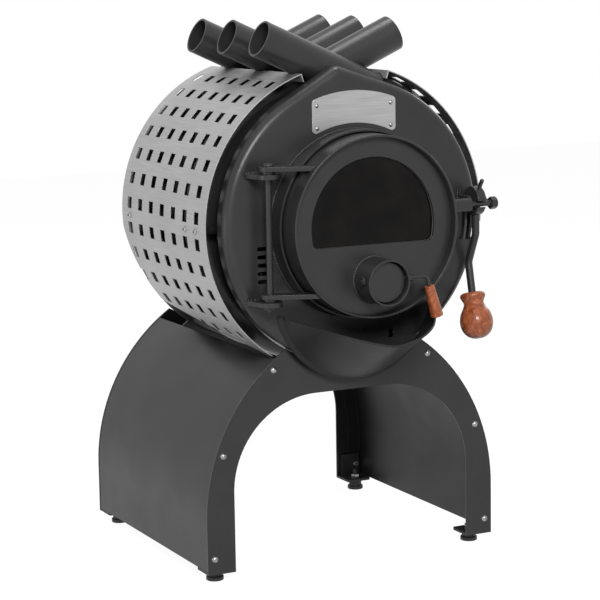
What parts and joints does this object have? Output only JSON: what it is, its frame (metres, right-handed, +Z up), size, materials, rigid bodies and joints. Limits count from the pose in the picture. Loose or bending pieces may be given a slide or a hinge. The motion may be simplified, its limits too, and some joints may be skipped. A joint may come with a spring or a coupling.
{
  "type": "wood stove",
  "caption": "Round steel wood stove on an arched log stand: bent air tubes around the firebox, slotted side shields, hinged round door with a window, latch handle and air damper.",
  "frame": {"origin": "on the floor, in the middle of the overall width and depth", "axes": "+X to the right seen from the front, +Y to the back where the flue leaves, +Z up"},
  "size_m": [0.5, 0.5989, 0.8436],
  "materials": {
    "stove_paint": "satin heat-proof dark grey paint",
    "shield_steel": "bare brushed sheet",
    "nameplate_steel": "bare, left without any marking",
    "zinc_screws": "bright zinc",
    "bare_steel": "dull grey",
    "grip_wood": "red-brown glossy varnish",
    "window_glass": "clear fire glass",
    "seal_cord": "woven cord",
    "foot_black": "matte black"
  },
  "bodies": {
    "stove": {"base_front_panel": "stove_paint", "base_rear_panel": "stove_paint", "base_left_side": "stove_paint", "base_right_side": "stove_paint", "rear_saddle": "stove_paint", "base_panel_screws": "zinc_screws", "base_panel_nuts": "zinc_screws", "foot_brackets": "stove_paint", "foot_lock_nuts": "zinc_screws", "front_plate": "stove_paint", "rear_plate": "stove_paint", "firebox_shell": "stove_paint", "baffle_plate": "bare_steel", "baffle_rails": "bare_steel", "flue_spigot": "stove_paint", "air_tube_1": "stove_paint", "air_tube_2": "stove_paint", "air_tube_3": "stove_paint", "air_tube_4": "stove_paint", "air_tube_5": "stove_paint", "air_tube_6": "stove_paint", "shield_left": "shield_steel", "shield_right": "shield_steel", "shield_posts": "stove_paint", "shield_screws": "zinc_screws", "door_collar": "stove_paint", "hinge_lugs": "stove_paint", "ash_lip": "stove_paint", "nameplate": "nameplate_steel", "nameplate_rivets": "zinc_screws", "latch_bracket": "stove_paint", "latch_axle": "stove_paint"},
    "door": {"door_ring": "stove_paint", "door_face": "stove_paint", "door_glass": "window_glass", "glass_seal": "seal_cord", "glass_retainer": "bare_steel", "retainer_screws": "zinc_screws", "seal_channel": "stove_paint", "rope_seal": "seal_cord", "air_inlet": "stove_paint", "hinge_arms": "stove_paint", "hinge_pin": "stove_paint", "hinge_nut": "stove_paint", "hinge_washers": "stove_paint", "latch_bar": "stove_paint", "striker_bolt": "stove_paint"},
    "damper": {"damper_disc": "stove_paint", "damper_lever": "stove_paint", "damper_nuts": "stove_paint", "damper_grip": "grip_wood"},
    "latch": {"latch_hub": "stove_paint", "handle_rod": "stove_paint", "handle_knob": "grip_wood"},
    "foot_fl": {"foot_front_left": "foot_black"},
    "foot_fr": {"foot_front_right": "foot_black"},
    "foot_rl": {"foot_rear_left": "foot_black"},
    "foot_rr": {"foot_rear_right": "foot_black"}
  },
  "joints": [
    {"name": "door_hinge", "type": "hinge", "parent": "stove", "child": "door", "pos_m": [-0.158, -0.19565, 0.5365], "axis": [0, 0, -1], "range_deg": [0, 110]},
    {"name": "damper_turn", "type": "hinge", "parent": "door", "child": "damper", "pos_m": [0, -0.26165, 0.4625], "axis": [-1, 0, 0], "range_deg": [0, 90]},
    {"name": "latch_turn", "type": "hinge", "parent": "stove", "child": "latch", "pos_m": [0.1945, -0.19765, 0.562], "axis": [-1, 0, 0], "range_deg": [0, 35]},
    {"name": "foot_turn_fl", "type": "hinge", "parent": "stove", "child": "foot_fl", "pos_m": [-0.226, -0.12365, 0], "axis": [0, 0, 1], "continuous": true},
    {"name": "foot_turn_fr", "type": "hinge", "parent": "stove", "child": "foot_fr", "pos_m": [0.226, -0.12365, 0], "axis": [0, 0, 1], "continuous": true},
    {"name": "foot_turn_rl", "type": "hinge", "parent": "stove", "child": "foot_rl", "pos_m": [-0.226, 0.26635, 0], "axis": [0, 0, 1], "continuous": true},
    {"name": "foot_turn_rr", "type": "hinge", "parent": "stove", "child": "foot_rr", "pos_m": [0.226, 0.26635, 0], "axis": [0, 0, 1], "continuous": true}
  ]
}
